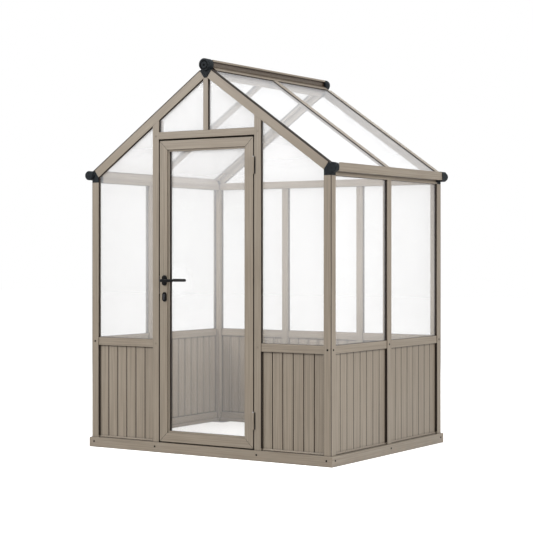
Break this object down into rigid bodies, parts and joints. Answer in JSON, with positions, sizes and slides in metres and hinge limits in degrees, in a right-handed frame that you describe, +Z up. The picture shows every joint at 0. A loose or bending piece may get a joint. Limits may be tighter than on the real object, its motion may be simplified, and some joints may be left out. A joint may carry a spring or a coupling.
{
  "type": "aluminium greenhouse",
  "caption": "Small gable-roofed greenhouse with a taupe aluminium frame, clear panes above planked skirt panels, eave gutters and a hinged lever-handle door.",
  "frame": {"origin": "middle of the base on the ground, at the centre of the anchor holes", "axes": "+Z up, +Y from the door wall to the back wall, +X to the right when facing the door"},
  "size_m": [1.838, 1.4495, 2.3825],
  "materials": {
    "powder_coated_aluminium": "taupe satin powder coat",
    "black_nylon": "moulded, matt",
    "clear_polycarbonate": "clear sheet, glossy",
    "black_rubber": "extruded, matt",
    "blackened_steel": "blackened",
    "black_handle_metal": "satin black coat",
    "mill_aluminium": "mill finish",
    "zinc_plated_steel": "zinc plated",
    "nickel_plated_brass": "black nickel plated"
  },
  "bodies": {
    "house": {"base_rail_front": "powder_coated_aluminium", "base_rail_back": "powder_coated_aluminium", "base_rails_side": "powder_coated_aluminium", "base_corner_brackets": "mill_aluminium", "corner_post_front_left": "powder_coated_aluminium", "corner_post_front_right": "powder_coated_aluminium", "corner_post_back_left": "powder_coated_aluminium", "corner_post_back_right": "powder_coated_aluminium", "latch_post": "powder_coated_aluminium", "hinge_post": "powder_coated_aluminium", "side_mullions": "powder_coated_aluminium", "back_mullions": "powder_coated_aluminium", "dado_rails_front": "powder_coated_aluminium", "dado_rails_side": "powder_coated_aluminium", "dado_rails_back": "powder_coated_aluminium", "door_head": "powder_coated_aluminium", "king_post": "powder_coated_aluminium", "back_tie_beam": "powder_coated_aluminium", "eave_gutter_right": "powder_coated_aluminium", "eave_gutter_left": "powder_coated_aluminium", "eave_corner_connectors": "black_nylon", "gutter_end_caps": "black_nylon", "ridge_beam": "powder_coated_aluminium", "ridge_end_cap_front": "black_nylon", "ridge_end_cap_back": "black_nylon", "rafters_front": "powder_coated_aluminium", "rafters_middle": "powder_coated_aluminium", "rafters_back": "powder_coated_aluminium", "roof_panes": "clear_polycarbonate", "roof_cover_strips": "powder_coated_aluminium", "front_roof_seals": "black_rubber", "front_panes": "clear_polycarbonate", "side_panes": "clear_polycarbonate", "back_panes": "clear_polycarbonate", "pane_seals": "black_rubber", "skirt_panels_front": "powder_coated_aluminium", "skirt_panels_side": "powder_coated_aluminium", "skirt_panels_back": "powder_coated_aluminium", "skirt_foot_rails": "powder_coated_aluminium", "frame_screws": "blackened_steel", "door_stop_strips": "black_rubber", "hinge_post_leaves": "powder_coated_aluminium", "hinge_pins": "zinc_plated_steel", "strike_plate": "zinc_plated_steel"},
    "door": {"door_stile_latch": "powder_coated_aluminium", "door_stile_hinge": "powder_coated_aluminium", "door_rail_top": "powder_coated_aluminium", "door_rail_bottom": "powder_coated_aluminium", "door_corner_cleats": "mill_aluminium", "door_pane": "clear_polycarbonate", "door_pane_seal": "black_rubber", "hinge_door_leaves": "powder_coated_aluminium", "handle_roses": "black_handle_metal", "lock_case": "zinc_plated_steel", "lock_cylinder": "nickel_plated_brass"},
    "lever_set": {"lever_handles": "black_handle_metal", "handle_spindle": "zinc_plated_steel"},
    "latch": {"latch_bolt": "zinc_plated_steel"},
    "key_barrel": {"key_plug": "nickel_plated_brass"},
    "bolt": {"dead_bolt": "zinc_plated_steel"}
  },
  "joints": [
    {"name": "door_swing", "type": "hinge", "parent": "house", "child": "door", "pos_m": [0.346, -0.697, 0], "axis": [0, 0, 1], "range_deg": [0, 110]},
    {"name": "lever_press", "type": "hinge", "parent": "door", "child": "lever_set", "pos_m": [-0.305, -0.67, 1.05], "axis": [0, 1, 0], "range_deg": [0, 45], "stiffness_Nm_per_rad": 3, "springref_deg": -17.19},
    {"name": "latch_slide", "type": "slide", "parent": "door", "child": "latch", "axis": [1, 0, 0], "range_m": [0, 0.0046]},
    {"name": "key_turn", "type": "hinge", "parent": "door", "child": "key_barrel", "pos_m": [-0.305, -0.67, 0.958], "axis": [0, 1, 0], "range_deg": [0, 180]},
    {"name": "bolt_throw", "type": "slide", "parent": "door", "child": "bolt", "axis": [-1, 0, 0], "range_m": [0, 0.0157]}
  ],
  "couplings": [
    {"joint": "latch_slide", "follows": "lever_press", "m_per_rad": 0.0057},
    {"joint": "key_turn", "follows": "bolt_throw", "rad_per_m": 200}
  ]
}
